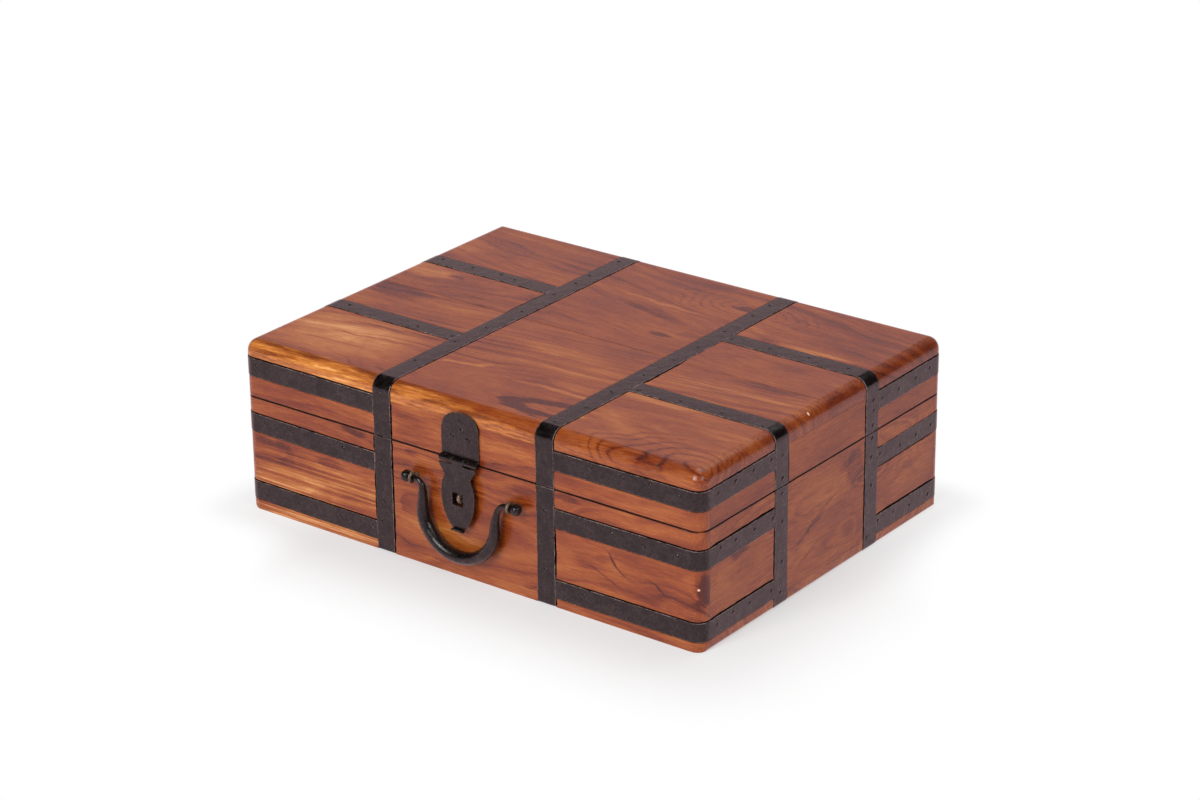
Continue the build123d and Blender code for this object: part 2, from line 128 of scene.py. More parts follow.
class Signal:
    """One output socket, usable in plain arithmetic."""

    def __init__(self, finish, socket):
        self.finish = finish
        self.socket = socket

    def maths(self, operation, *values):
        return self.finish.node("Math", {"operation": operation}, dict(enumerate(values)))

    def __add__(self, other):
        return self.maths("ADD", self, other)

    def __sub__(self, other):
        return self.maths("SUBTRACT", self, other)

    def __rsub__(self, other):
        return self.maths("SUBTRACT", other, self)

    def __mul__(self, other):
        return self.maths("MULTIPLY", self, other)

    def __truediv__(self, other):
        return self.maths("DIVIDE", self, other)

    def __pow__(self, other):
        return self.maths("POWER", self, other)

    __radd__ = __add__
    __rmul__ = __mul__

    def fraction(self):
        return self.maths("FRACT", self)

    def size(self):
        return self.maths("ABSOLUTE", self)

    def at_least(self, other):
        return self.maths("MAXIMUM", self, other)

    def at_most(self, other):
        return self.maths("MINIMUM", self, other)

    def between(self, low, high):
        """0 below low, 1 above high and a smooth step from one to the other."""
        return self.finish.node("MapRange", {"interpolation_type": "SMOOTHSTEP"},
                                {0: self, 1: low, 2: high})


print("a signal also has", [name for name in dir(Signal) if not name.startswith("_")])

# %% Finishes


class Finish:
    """A material or a world in the making, which starts with an empty tree."""

    def __init__(self, owner):
        self.owner = owner
        owner.use_nodes = True
        self.tree = owner.node_tree
        self.tree.nodes.clear()

    def node(self, kind, settings=None, sockets=None, out=0):
        """Any node: its settings first, then a value or a link for each of its sockets."""
        made = self.tree.nodes.new("ShaderNode" + kind)
        for name, value in (settings or {}).items():
            if name == "stops":
                self.set_stops(made.color_ramp, value)
            else:
                setattr(made, name, value)
        for name, value in (sockets or {}).items():
            if isinstance(value, Signal):
                self.tree.links.new(value.socket, made.inputs[name])
            else:
                made.inputs[name].default_value = value
        return Signal(self, made.outputs[out]) if len(made.outputs) else None

    def set_stops(self, ramp, stops):
        """Gives a colour ramp its pairs of a position and a colour."""
        while len(ramp.elements) < len(stops):
            ramp.elements.new(0.5)
        for element, (position, color) in zip(ramp.elements, stops):
            element.position = position
            element.color = color

    def parts(self, vector):
        """The three numbers of a vector."""
        split = self.node("SeparateXYZ", {}, {0: vector}).socket.node
        return [Signal(self, socket) for socket in split.outputs]

    def position(self, turn=0.0):
        """Where a point is on the box, in millimetres, turned about the upright axis."""
        here = self.node("TexCoord", out="Object")
        return self.node("Mapping", {}, {
            "Vector": here, "Rotation": (0, 0, math.radians(turn)), "Scale": (1 / MM,) * 3})

    def noise(self, here, size, shift=(0, 0, 0), detail=2.0, rough=0.5, out="Fac"):
        """Soft noise whose lumps have the given size along each axis."""
        stretched = self.node("Mapping", {}, {
            "Vector": here, "Location": shift, "Scale": tuple(1 / s for s in size)})
        return self.node("TexNoise", {"noise_dimensions": "3D"}, {
            "Vector": stretched, "Scale": 1.0, "Detail": detail, "Roughness": rough}, out=out)

    def mix(self, share, first, second):
        """One colour into another."""
        return self.node("Mix", {"data_type": "RGBA"}, {0: share, 6: first, 7: second}, out=2)

    def bump(self, height, strength, distance):
        """Lifts and dents a surface by its height, as far as a distance in metres."""
        return self.node("Bump", {}, {
            "Strength": strength, "Distance": distance, "Height": height})

    def shade(self, color, roughness, normal, **constants):
        """The surface itself, and the material's output."""
        shader = self.node("BsdfPrincipled", {}, {
            "Base Color": color, "Roughness": roughness, "Normal": normal,
            **{name.replace("_", " "): value for name, value in constants.items()}})
        self.node("OutputMaterial", {}, {"Surface": shader})
        return self.owner


print("a finish is written with", [name for name in dir(Finish) if not name.startswith("_")])

# %% [markdown]
# ## Places on the faces
# The figure of each board is given mark by mark: a pale streak here, a dark flame there. Three
# helpers say where such a mark lies: on the lid by x and y, on the front by x and z, on an end
# by y and z. A mark is a soft ellipse with two half sizes, an amount of lightening or darkening,
# a slope in degrees, and a core, the share of the ellipse that takes the whole amount.

# %% Marks
LENGTH, DEPTH, HEIGHT = 400.0, 295.0, 130.4
THROUGH = 60  # how far a mark reaches into the board
Mark = namedtuple("Mark", "middle half turned amount core")


def on_top(x, y, long, wide, amount, slope=0, core=0.4):
    turned = (0, 0, math.radians(slope))
    return Mark((x, y, HEIGHT), (long, wide, THROUGH), turned, amount, core)


def on_front(x, z, long, tall, amount, slope=0, core=0.4):
    turned = (0, -math.radians(slope), 0)
    return Mark((x, -DEPTH / 2, z), (long, THROUGH, tall), turned, amount, core)


def on_end(y, z, long, tall, amount, slope=0, core=0.4):
    turned = (math.radians(slope), 0, 0)
    return Mark((LENGTH / 2, y, z), (THROUGH, long, tall), turned, amount, core)


print(on_top(10, 20, 30, 5, 0.2))

# %% [markdown]
# ## The wood
# The boards are a reddish hardwood under a thin varnish. Its colour runs from near-black
# heartwood lines through red-brown to honey. A picture of a plank could be wrapped on, but its
# grain would never lie where this box has it, so the colour is worked out from where a point is.

# %% Colours of the wood
WOOD_STOPS = [
    (0.00, linear(70, 20, 4)),
    (0.20, linear(104, 38, 9)),
    (0.40, linear(127, 57, 17)),
    (0.55, linear(142, 71, 24)),
    (0.70, linear(157, 88, 35)),
    (0.85, linear(172, 107, 53)),
    (1.00, linear(198, 136, 82)),
]
SAP_STOPS = [
    (0.0, linear(112, 54, 20)),
    (0.35, linear(166, 94, 38)),
    (0.65, linear(196, 124, 56)),
    (1.0, linear(234, 178, 110)),
]
# Near-black for dirt in the joints, and for painted shade in the hasp's hole, behind its hinge
# and, mixed with dirt, in the seam.
SHADE_AND_DIRT_BLACK = linear(14, 9, 8)  # oil and dirt in joints and behind moving iron
CHIP = linear(226, 184, 158)  # varnish knocked off a corner
VARNISH = 1.5  # refractive index of the varnish
THIN_VARNISH = 1.43  # what the end boards' thinner coat acts as
print(len(WOOD_STOPS), "tones of heartwood and", len(SAP_STOPS), "of sapwood")

# %% [markdown]
# ## Grain
# Grain runs along a board, so every noise is long that way and short across it. Slow noise makes
# clouds, quicker noise makes streaks and fine fibres, and the finest makes the pores. All
# finishes of wood start with the same set, and a seed shifts it, so that no two boards are
# alike.

# %% The noises of one board
BEND = 34.0  # how far slow noise bends the rings, across the grain
WAVER = (18, 9, 9)  # how far quicker noise moves the outline of a mark


class Wood(Finish):
    """The finish of one board, with the noises that its figure is made of."""

    def __init__(self, name, turn, seed):
        super().__init__(bpy.data.materials.new(name))
        self.seed = seed
        self.shift = (seed * 7.3, seed * 3.1, seed * 5.7)
        self.box = self.position()
        self.here = self.position(turn) if turn else self.box
        self.x, self.y, self.z = self.parts(self.box)
        bend = self.along((150, 55, 55), detail=2, out="Color")
        self.bent = self.node("VectorMath", {"operation": "MULTIPLY_ADD"}, {
            0: bend, 1: (0, BEND, BEND), 2: self.here})
        waver = self.noise(self.box, (26, 12, 12), self.shift, detail=3, out="Color")
        moved = self.node("VectorMath", {"operation": "MULTIPLY_ADD"}, {
            0: waver, 1: WAVER, 2: self.box})
        self.drawn = self.node("VectorMath", {"operation": "SUBTRACT"}, {
            0: moved, 1: tuple(most / 2 for most in WAVER)})
        self.streak = self.noise(self.bent, (90, 5, 5), self.shift, detail=4, rough=0.6)
        self.fine = self.along((16, 0.9, 0.9), detail=3, rough=0.66)
        self.cloud = self.noise(self.here, (70, 30, 30), (2, seed, 9), detail=4, rough=0.55)
        self.pores = self.along((8, 0.36, 0.36), detail=1).between(0.62, 0.72)

    def along(self, size, **kind):
        """Noise that lies along the board's grain."""
        return self.noise(self.here, size, self.shift, **kind)

    def reach(self, mark, ragged, place):
        """How far out a point is in a mark: 0 in its middle and 1 at its rim."""
        local = self.node("Mapping", {"vector_type": "TEXTURE"}, {
            "Vector": place, "Location": mark.middle, "Rotation": mark.turned,
            "Scale": mark.half})
        away = self.node("VectorMath", {"operation": "LENGTH"}, {0: local}, out="Value")
        return away + (self.streak - 0.5) * ragged

    def cover(self, mark, ragged, place):
        """1 in the core of a mark, falling to 0 at its rim."""
        return 1 - self.reach(mark, ragged, place).between(mark.core, 1.0)


print("a board's rings are bent by up to", BEND / 2, "mm")

# %% [markdown]
# ## Growth rings
# Figure is what a saw leaves of a tree's growth rings. Each board gets its own pith, the centre
# line of the tree it came from, and the distance from that line, bent by slow noise, counts the
# rings. That gives flames and straight grain alike. The late wood of each ring is a thin dark
# line.

# %% The tone of a board
TONE = 0.43  # a plain board's place on the ramp of colours
TONE_OF_BANDS = 0.55  # how much each kind of grain shifts it
TONE_OF_STREAKS = 0.3
TONE_OF_FIBRES = 0.6
TONE_OF_CLOUDS = 0.7
TONE_OF_PORES = 0.14


def ring_tone(f, pith, tilt, spacing, swirl, light, lines):
    """How light the wood is, from 0 to 1, before any mark."""
    along, across, deep = f.parts(f.bent)
    across = across - (pith[0] + BEND / 2)
    deep = deep - along * tilt - (pith[1] + BEND / 2)
    rings = (across * across + deep * deep) ** 0.5 / spacing
    if swirl:
        rings = rings + f.along((60, 26, 26), detail=1) * swirl
    bands = f.node("TexNoise", {"noise_dimensions": "1D"}, {
        "W": rings + f.seed, "Scale": 1.0, "Detail": 3.0, "Roughness": 0.6})
    late = (rings + f.along((30, 6, 6), detail=3) * 0.5).fraction() ** 5
    strength = f.noise(f.here, (90, 30, 30), (f.seed, 4, 2), detail=1).between(0.4, 0.7)
    return (TONE + light + (bands - 0.5) * TONE_OF_BANDS + (f.streak - 0.5) * TONE_OF_STREAKS
            + (f.fine - 0.5) * TONE_OF_FIBRES + (f.cloud - 0.5) * TONE_OF_CLOUDS
            - late * strength * lines - f.pores * TONE_OF_PORES)


print("a plain board's tone is", TONE)

# %% [markdown]
# ## Marks, ribs and arches
# Three kinds of figure are placed over the rings. A mark lightens or darkens its
# ellipse. A bundle fills it with straight fine ribs, as quartered wood shows them. An arch fills
# it with nested rings, as a saw leaves them where it grazes a curve of the tree. All of them
# have ragged outlines.

# %% Figure that is placed mark by mark
MARK_RAGGED, BUNDLE_RAGGED, ARCH_RAGGED = 0.7, 0.6, 0.1  # how far outlines stray
ARCH_RINGS = 7


def placed_figure(f, tone, marks, bundles, arches):
    """The tone with the marks, the bundles of ribs and the arches added."""
    for mark in marks:
        tone = tone + f.cover(mark, MARK_RAGGED, f.drawn) * mark.amount
    if bundles:
        ribs = f.along((130, 1.3, 1.3), detail=2, rough=0.5).between(0.34, 0.66)
    for mark in bundles:
        tone = tone + f.cover(mark, BUNDLE_RAGGED, f.drawn) * (ribs - 0.36) * mark.amount
    if arches:
        drift = f.noise(f.box, (70, 28, 28), f.shift, detail=2, rough=0.4)
        broken = f.along((50, 9, 9), detail=2).between(0.3, 0.55)
    for mark in arches:
        out = f.reach(mark, ARCH_RAGGED, f.box) + (drift - 0.5) * 0.7
        line = (((out * ARCH_RINGS).fraction() - 0.5).size() * 2) ** 4
        share = (1 - out.between(0.8, 1.1)) * broken
        tone = tone + share * (line * -mark.amount + mark.amount * 0.16)
    return tone


print("an arch has", ARCH_RINGS, "rings")

# %% [markdown]
# ## Specks, dark ends and sapwood
# The right end is sawn across a swirl and shows dark specks. The planks of the lid darken over
# the rounded edges at their ends. Sapwood, the pale young wood under the bark, runs along the
# front
# edge of the lid: it is measured forward from the middle of the lid and then down over the
# rounded edge.

# %% Specks and dark ends
END_DARKENS = (LENGTH / 2 - 9, LENGTH / 2 - 1)  # from the middle, either way


def specked(f, tone, speckle):
    specks = f.noise(f.box, (7, 3.2, 1.6), f.shift, detail=3, rough=0.7).between(0.52, 0.66)
    return tone - specks * f.cloud * speckle


def darker_ends(f, tone, amount):
    return tone - f.x.size().between(*END_DARKENS) * amount


print("the planks darken from", END_DARKENS[0], "mm out")

# %% Sapwood
SAP_FROM = 139  # where sapwood starts at the left, forward from the middle of the lid
SAP_SLOPE = 0.135  # how fast it narrows to the right
SAP_NARROWS = (-60, 65)  # between these two places along the box
SAP_SOFT = 3  # half the width of its edge
SAP_FADES = (60, 120)  # towards the right end
SAP_PALES = (4, 14)  # how far past its edge
SAP_TONE = 0.1  # of its darkest part, on its own ramp
LEFT_DARKENS = (-LENGTH / 2, -120)


def sapwood(f, color, sap):
    """Honey-coloured wood along the front edge of the lid."""
    over_edge = HEIGHT - f.y - f.z
    narrowed = (f.x - SAP_NARROWS[0]).at_least(0).at_most(SAP_NARROWS[1] - SAP_NARROWS[0])
    edge = SAP_FROM + narrowed * SAP_SLOPE
    ragged = over_edge + (f.streak - 0.5) * 14 + (f.fine - 0.5) * 7
    share = ragged.between(edge - SAP_SOFT, edge + SAP_SOFT)
    share = share * (1 - f.x.between(*SAP_FADES) * 0.8) * sap
    low = over_edge.between(edge + SAP_PALES[0], edge + SAP_PALES[1])
    flecks = f.noise(f.here, (34, 3.4, 3.4), (f.seed, 8, 1), detail=3, rough=0.75)
    tone = (SAP_TONE + f.x.between(*LEFT_DARKENS) * 0.08 + low * 0.24
            + (f.streak - 0.5) * 0.8 + (flecks - 0.5) * 2.1 + (f.cloud - 0.5) * 0.5)
    honey = f.node("ValToRGB", {"stops": SAP_STOPS}, {"Fac": tone})
    return f.mix(share, color, honey)


print("sapwood starts", DEPTH / 2 - SAP_FROM, "mm before the front edge")

# %% [markdown]
# ## Dirt, painted shade, chips and the skin
# Oil and dust gather in the joints of the end boards, and a hard knock breaks a pale chip out of
# the varnish. The seam takes a painted shade mixed with dirt, and a painted shade lies behind the
# hasp. Each of these is a colour mixed in by a mask. The seam's shade and the joints' dirt stay
# on the outer faces, so the inside is clean. Fibres and pores lift the skin a little, too.

# %% Painted shade and dirt in the seam, dirt in the joints
SEAM_MIDDLE = 87.9  # height of the joint between lid and base
END_JOINT = 138.0  # the joints where the end boards meet the front and back ones
# The skin band and the share below serve the seam's painted shade and dirt, and the joints' dirt.
SKIN = (-2.2, -0.8)  # dirt fades in between these places, measured out from the faces
SHADE_AND_DIRT_SHARE = 0.9  # how much of the colour it takes


def seam_shade_and_joint_dirt(f, color, end_joints):
    """The colour with a painted shade and dirt along the seam, and dirt along the end boards'
    joints.
    """
    near_skin = (f.x.size() - LENGTH / 2).at_least(f.y.size() - DEPTH / 2).between(*SKIN)
    from_seam = (f.z - SEAM_MIDDLE).size() + (f.fine - 0.5) * 0.8
    shade_and_dirt = near_skin * (1 - from_seam.between(0.5, 1.2))
    if end_joints:
        from_joint = (f.y.size() - END_JOINT).size()
        shade_and_dirt = shade_and_dirt.at_least((1 - from_joint.between(0.15, 0.7)) * 0.8)
    return f.mix(shade_and_dirt * SHADE_AND_DIRT_SHARE, color, SHADE_AND_DIRT_BLACK)


print("the seam is", SEAM_MIDDLE, "mm up")

# %% One finish per board
GRAIN_HEIGHT = 0.0004  # metres


def wood_finish(name, turn, pith, tilt, spacing, seed, light=0.0, swirl=0.0, lines=0.3,
                bundles=(), arches=(), marks=(), spots=(), sap=0.0, dark_ends=0.0, speckle=0.0,
                end_joints=False, sheen=VARNISH):
    """The finish of one board, from its pith, its placed figure, its dirt and its coat."""
    f = Wood(name, turn, seed)
    tone = ring_tone(f, pith, tilt, spacing, swirl, light, lines)
    tone = placed_figure(f, tone, marks, bundles, arches)
    if speckle:
        tone = specked(f, tone, speckle)
    if dark_ends:
        tone = darker_ends(f, tone, dark_ends)
    color = f.node("ValToRGB", {"stops": WOOD_STOPS}, {"Fac": tone})
    if sap:
        color = sapwood(f, color, sap)
    color = seam_shade_and_joint_dirt(f, color, end_joints)
    for mark, paint in spots:
        color = f.mix(f.cover(mark, 0.0, f.box) * mark.amount, color, paint)
    height = f.fine * 0.5 + f.streak * 0.3 - f.pores
    rough = 0.26 + (f.fine - 0.5) * 0.2 + f.pores * 0.2 + (f.cloud - 0.5) * 0.12
    return f.shade(color, rough, f.bump(height, 0.25, GRAIN_HEIGHT), IOR=sheen)


print("the varnish bends light by", VARNISH, "and where it is thin by", THIN_VARNISH)

# %% [markdown]
# ## The figure of the lid
# The lid's two planks show the most: sapwood along the front with dark flames in it, wide arches
# at the front right corner, and calmer wood behind. Each line below is one mark, so a mark that
# sits wrong can be moved alone. The rails under the planks carry on the same wood.

# %% Boards of the lid
# Painted shade on the wood behind the hasp's hinge, so that its slots show dark.
HINGE_SHADE = (on_front(-0.8, 88, 15.4, 5, 1.0, 0, 0.9), SHADE_AND_DIRT_BLACK)
PLANK_JOINT = [(on_top(28, 0, 44, 0.7, 0.75, 0, 0.3), SHADE_AND_DIRT_BLACK),
               (on_top(-112, 0, 34, 0.6, 0.7, 0, 0.3), SHADE_AND_DIRT_BLACK)]
FRONT_PLANK_MARKS = [
    on_top(-145, -100, 78, 46, 0.4), on_top(-122, -82, 55, 9, 0.1, 10),
    on_top(-120, -70, 56, 1.6, -0.4, 7), on_top(-130, -92, 50, 1.4, -0.3, 9),
    on_top(-140, -112, 44, 1.6, -0.2, 5), on_top(-172, -10, 36, 20, -0.3),
    on_top(-40, -88, 32, 2.6, 0.34, 22), on_top(40, -92, 52, 3.0, 0.36, 2),
    on_top(-20, -112, 44, 16, 0.04), on_top(168, -142, 36, 9, -0.24),
    on_top(47, -121, 34, 15, -0.55, 7, 0.75), on_top(58, -119, 26, 8, 0.55, 7, 0.7),
    on_top(45, -80, 26, 8, 0.2), on_top(22, -117, 16, 8, -0.16),
    on_top(0, -34, 56, 11, 0.14, -4), on_top(30, -62, 50, 8, 0.12, 4),
    on_top(128, -28, 64, 16, 0.1, 8), on_top(110, -66, 50, 7, 0.3, 4),
    on_top(128, 6, 40, 1.6, -0.4), on_top(155, 8, 44, 26, -0.28)]
BACK_PLANK_MARKS = [
    on_top(-190, 92, 28, 20, 0.2), on_top(-180, 34, 34, 15, 0.4, 0, 0.5),
    on_top(-150, 56, 12, 4, -0.2), on_top(-155, 36, 9, 3, -0.3),
    on_top(-5, 82, 66, 2.4, 0.28, -5), on_top(10, 120, 22, 7, -0.08),
    on_top(58, 107, 14, 6, -0.4, 0, 0.4), on_top(8, 64, 46, 6, -0.28, -10),
    on_top(36, 32, 10, 5, -0.35, 0, 0.4), on_top(86, 72, 18, 12, 0.16),
    on_top(145, 67, 50, 4, 0.36, 2), on_top(150, 105, 60, 34, -0.06)]
LID_BOARDS = {
    "lid_top_front_plank": dict(
        turn=-4, pith=(-112, 96), tilt=0.09, spacing=5.5, seed=3.0, sap=0.95, dark_ends=0.12,
        marks=FRONT_PLANK_MARKS, bundles=[on_top(130, -26, 66, 17, 0.6, 6)],
        arches=[on_top(196, -140, 100, 44, 0.42)],
        spots=[(on_top(197, -20, 1.3, 1.1, 1.0, 0, 0.6), CHIP), *PLANK_JOINT]),
    "lid_top_back_plank": dict(
        turn=4, pith=(40, 70), tilt=-0.05, spacing=7.0, seed=11.0, dark_ends=0.12, light=-0.06,
        marks=BACK_PLANK_MARKS, arches=[on_top(62, 107, 74, 30, 0.26)], spots=PLANK_JOINT),
    "lid_front_rail": dict(
        turn=0, pith=(-100, 60), tilt=0.03, spacing=8.0, seed=5.0, lines=0.2,
        marks=[on_front(130, 101, 64, 14, 0.16), on_front(40, 102, 32, 12, 0.14),
               on_front(-45, 101, 24, 14, -0.24), on_front(-150, 103, 30, 8, -0.1)],
        spots=[HINGE_SHADE]),
    "lid_back_rail": dict(turn=0, pith=(100, 60), tilt=0.03, spacing=8.0, seed=6.0),
    "lid_left_rail": dict(
        turn=90, pith=(100, 60), tilt=0.03, spacing=8.0, seed=7.0, end_joints=True,
        sheen=THIN_VARNISH),
    "lid_right_rail": dict(
        turn=90, pith=(100, 60), tilt=0.02, spacing=7.0, seed=8.0, lines=0.2, light=-0.05,
        end_joints=True, sheen=THIN_VARNISH),
}
print(len(FRONT_PLANK_MARKS) + len(BACK_PLANK_MARKS), "marks on the two planks")

# %% [markdown]
# ## The figure of the base
# The front board has straight ribs at the left, a few cracks at the right, and painted shade in
# the hasp's hole and behind its hinge. The right end is swirled. The floor panel shows only as a
# thin line below the boards, so it takes the same pale streak as the front.

# %% Boards of the base
FRONT_MARKS = [
    on_front(-100, 84, 15, 3.5, -0.4), on_front(-176, 57, 26, 5, -0.36),
    on_front(-122, 54, 20, 5, -0.32), on_front(-162, 32, 50, 14, 0.24),
    on_front(-130, 3, 70, 6, 0.24), on_front(-151, 4, 9, 1.6, -0.4),
    on_front(-45, 83, 13, 5, -0.22), on_front(-55, 73, 12, 4, -0.16),
    on_front(50, 80, 16, 5, -0.26), on_front(0, 2, 72, 2.6, 0.36),
    on_front(88, 84, 13, 3.5, -0.3), on_front(110, 44, 22, 11, -0.2),
    on_front(131, 46, 21, 0.9, -0.55, -36), on_front(165, 39, 15, 0.9, -0.5, -23),
    on_front(122, 36, 18, 1.0, -0.4, -24), on_front(198, 44, 6, 17, -0.4),
    on_front(145, 40, 60, 22, -0.08), on_front(0, 26, 84, 24, 0.16),
    on_front(150, 82, 60, 8, 0.14)]
RIGHT_MARKS = [
    on_end(-4, 62, 34, 18, 0.12, 12), on_end(36, 68, 12, 18, -0.24, 20, 0.7),
    on_end(26, 76, 14, 5, -0.2, 10), on_end(-105, 60, 15, 5, -0.4, -10),
    on_end(100, 45, 30, 4, -0.2, 8), on_end(110, 40, 40, 22, 0.12),
    on_end(-20, 44, 28, 1.4, -0.36, 20), on_end(-6, 52, 26, 1.2, -0.34, 24),
    on_end(-16, 33, 34, 12, 0.18, 20), on_end(-25, 24, 30, 1.2, -0.3, 22)]
BASE_BOARDS = {
    "base_front_board": dict(
        turn=0, pith=(-120, 40), tilt=0.06, spacing=6.0, seed=9.0, swirl=3.0, light=-0.02,
        marks=FRONT_MARKS,
        bundles=[on_front(-138, 38, 88, 22, 0.5, 3, 0.7), on_front(-130, 4, 76, 6, 0.5, 0, 0.7)],
        # Painted shade in the hasp's hole, around the staple.
        spots=[(on_front(-4.5, 58, 10, 9, 0.85, 0, 0.5), SHADE_AND_DIRT_BLACK), HINGE_SHADE,
               (on_front(196.5, 46, 1.0, 1.0, 1.0, 0, 0.5), CHIP)]),
    "base_back_board": dict(
        turn=0, pith=(120, 40), tilt=0.06, spacing=6.0, seed=10.0, swirl=2.0),
    "base_left_board": dict(
        turn=90, pith=(160, 40), tilt=0.05, spacing=6.0, seed=12.0, swirl=3.0,
        end_joints=True, sheen=THIN_VARNISH),
    "base_right_board": dict(
        turn=90, pith=(-160, 40), tilt=0.05, spacing=6.0, seed=13.0, swirl=9.0, speckle=0.3,
        end_joints=True, sheen=THIN_VARNISH, marks=RIGHT_MARKS),
    "base_floor": dict(
        turn=0, pith=(0, 60), tilt=0.03, spacing=6.0, seed=14.0, light=0.1,
        marks=[on_front(-130, 3, 70, 9, 0.16)],
        bundles=[on_front(-130, 4, 76, 9, 0.6, 0, 0.7)]),
}
BOARDS = {**LID_BOARDS, **BASE_BOARDS}
wood = {board: wood_finish("wood_" + board, **facts) for board, facts in BOARDS.items()}
print(len(wood), "boards have their figure")

# %% [markdown]
# ## The iron
# The straps and the hasp are blackened iron: almost no colour of their own, and a satin skin
# that mirrors pale surroundings as a brownish grey. A strip that was rolled, heated and oiled is
# never quite flat or even, so slow noise dents it, fine noise roughens it, and the oil lies on
# it as a patchy glossy film. Where hands and files rub an edge, it wears to a paler brown grey.

# %% Black iron finishes
IRON_HEIGHT = 0.0001  # metres


def iron_finish(name, rough, dents, grain, seed, dark=linear(5, 3, 3), pale=linear(25, 17, 17),
                oil=0.1, ior=1.42):
    """Mottled iron under a patchy film of oil. Dents and grain are how strong its relief is."""
    f = Finish(bpy.data.materials.new(name))
    here = f.position()
    shift = (seed, seed * 2, seed * 3)
    mottle = f.noise(here, (9, 9, 9), shift, detail=4, rough=0.6)
    fine = f.noise(here, (1.5, 1.5, 1.5), shift, detail=3, rough=0.7)
    hammer = f.noise(here, (6, 6, 6), shift, detail=1)
    color = f.mix((mottle + fine).between(0.75, 1.3), dark, pale)
    bump = f.bump(hammer * dents + fine * grain, 1.0, IRON_HEIGHT)
    rough = rough + (mottle - 0.5) * 0.25 + (fine - 0.5) * 0.15
    film = (oil + (fine - 0.5) * 1.6 + (mottle - 0.5) * 0.5).at_least(0.0).at_most(1.0)
    return f.shade(color, rough, bump, IOR=ior, Coat_Weight=film, Coat_Roughness=0.2)


strap_iron = iron_finish("black_strap_iron", 0.24, 1.4, 0.9, 1.0)
hasp_iron = iron_finish("black_hasp_iron", 0.24, 2.2, 1.4, 4.0)
forged_iron = iron_finish("black_forged_iron", 0.29, 4.5, 2.0, 7.0)
worn_wire = iron_finish("worn_wire", 0.26, 1.0, 2.0, 11.0, dark=linear(30, 24, 20),
                        pale=linear(120, 102, 84), oil=0.3)
worn_edge = iron_finish("worn_iron_edge", 0.35, 1.0, 1.0, 12.0, dark=linear(20, 15, 15),
                        pale=linear(138, 118, 114))
# Groove walls and floors are painted near-black with no sheen: a painted shade for the dark open
# line beside each strap.
groove_shade = iron_finish("soot_in_the_grooves", 0.6, 0.5, 2.0, 9.0, dark=linear(2, 1, 1),
                   pale=linear(16, 10, 8), oil=-1.0, ior=1.1)
irons = (strap_iron, hasp_iron, forged_iron, worn_wire, worn_edge, groove_shade)
print("finishes of iron:", [iron.name for iron in irons])

# %% Give every CAD node its finish
for name, node in nodes.items():
    finish = wood.get(name, strap_iron)
    if name.startswith("hasp"):
        finish = hasp_iron
    if name == "handle":
        finish = forged_iron
    if name.startswith("handle_eye") or name == "hasp_staple":
        finish = worn_wire
    node.data.materials.clear()
    node.data.materials.append(finish)
print("every CAD node has a finish")

# %% [markdown]
# ## Depth under the skin
# A groove's faces are those that lie a little under the outer skin of the case. The skin could
# be found by shooting rays, but its shape is known: a box with rounded edges, rounder feet at
# the left and one nearly sharp corner at the back left. So one sum gives the depth of any point.

# %% How deep a point lies
ROUND = 9.0
SHARP_ROUND = 3.0  # the upright corner at the back left
FOOT_ROUND = (9.0, 2.5)  # under the left end and under the right end
GROOVE_DEPTH = 1.2


def under(radius, *out):
    """Depth under a rounded edge or corner of faces that lie this far away."""
    reach = [value + radius for value in out]
    return radius - math.hypot(*[max(value, 0.0) for value in reach]) - min(max(reach), 0.0)


def depth(point):
    """How far a point in millimetres lies under the outer skin of the case."""
    x, y, z = point
    end, side, top = abs(x) - LENGTH / 2, abs(y) - DEPTH / 2, z - HEIGHT
    foot = under(FOOT_ROUND[x > 0], end, -z)
    if x < 0 < y:
        return min(foot, under(SHARP_ROUND, end, side), under(ROUND, end, top),
                   under(ROUND, side, top))
    return min(foot, under(ROUND, end, side, top))


print("depth at the middle of the front:", depth((0, -DEPTH / 2, 60)))

# %% [markdown]
# ## Copies of CAD nodes
# A CAD node's mesh is loose triangles and is never changed. A copy of it can be: its doubles are
# merged and its flat faces made whole, so that every edge that is left is a real edge of the
# piece. The copy then stands for the node and rides on the same body.

# %% Copy a node as whole faces
SAME = 0.00001  # points closer than this are one point, in metres
FLAT = math.radians(0.6)
CREASE = math.radians(26)


def merged(node):
    """A bmesh of a CAD node whose loose triangles are joined and whose flat faces are whole."""
    bm = bmesh.new()
    bm.from_mesh(nodes[node].data)
    bmesh.ops.remove_doubles(bm, verts=bm.verts, dist=SAME)
    bmesh.ops.dissolve_limit(bm, angle_limit=FLAT, verts=bm.verts, edges=bm.edges,
                             use_dissolve_boundaries=False)
    return bm


def piece_from(bm, name, *finishes):
    """Turns a bmesh into an object at the origin, with its place in its mesh."""
    mesh = bpy.data.meshes.new(name)
    bm.to_mesh(mesh)
    bm.free()
    for finish in finishes:
        mesh.materials.append(finish)
    piece = bpy.data.objects.new(name, mesh)
    bpy.context.scene.collection.objects.link(piece)
    return piece


def stand_in(node, bm, suffix, *finishes):
    """Turns a bmesh into the piece that is shown for a CAD node."""
    for face in bm.faces:
        face.smooth = True
    for edge in bm.edges:
        edge.smooth = len(edge.link_faces) == 2 and edge.calc_face_angle(0) < CREASE
    piece = piece_from(bm, node + suffix, *finishes)
    piece.modifiers.new("even_shading", "WEIGHTED_NORMAL").keep_sharp = True
    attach(piece, nodes[node]["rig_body"])
    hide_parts(node)
    return piece


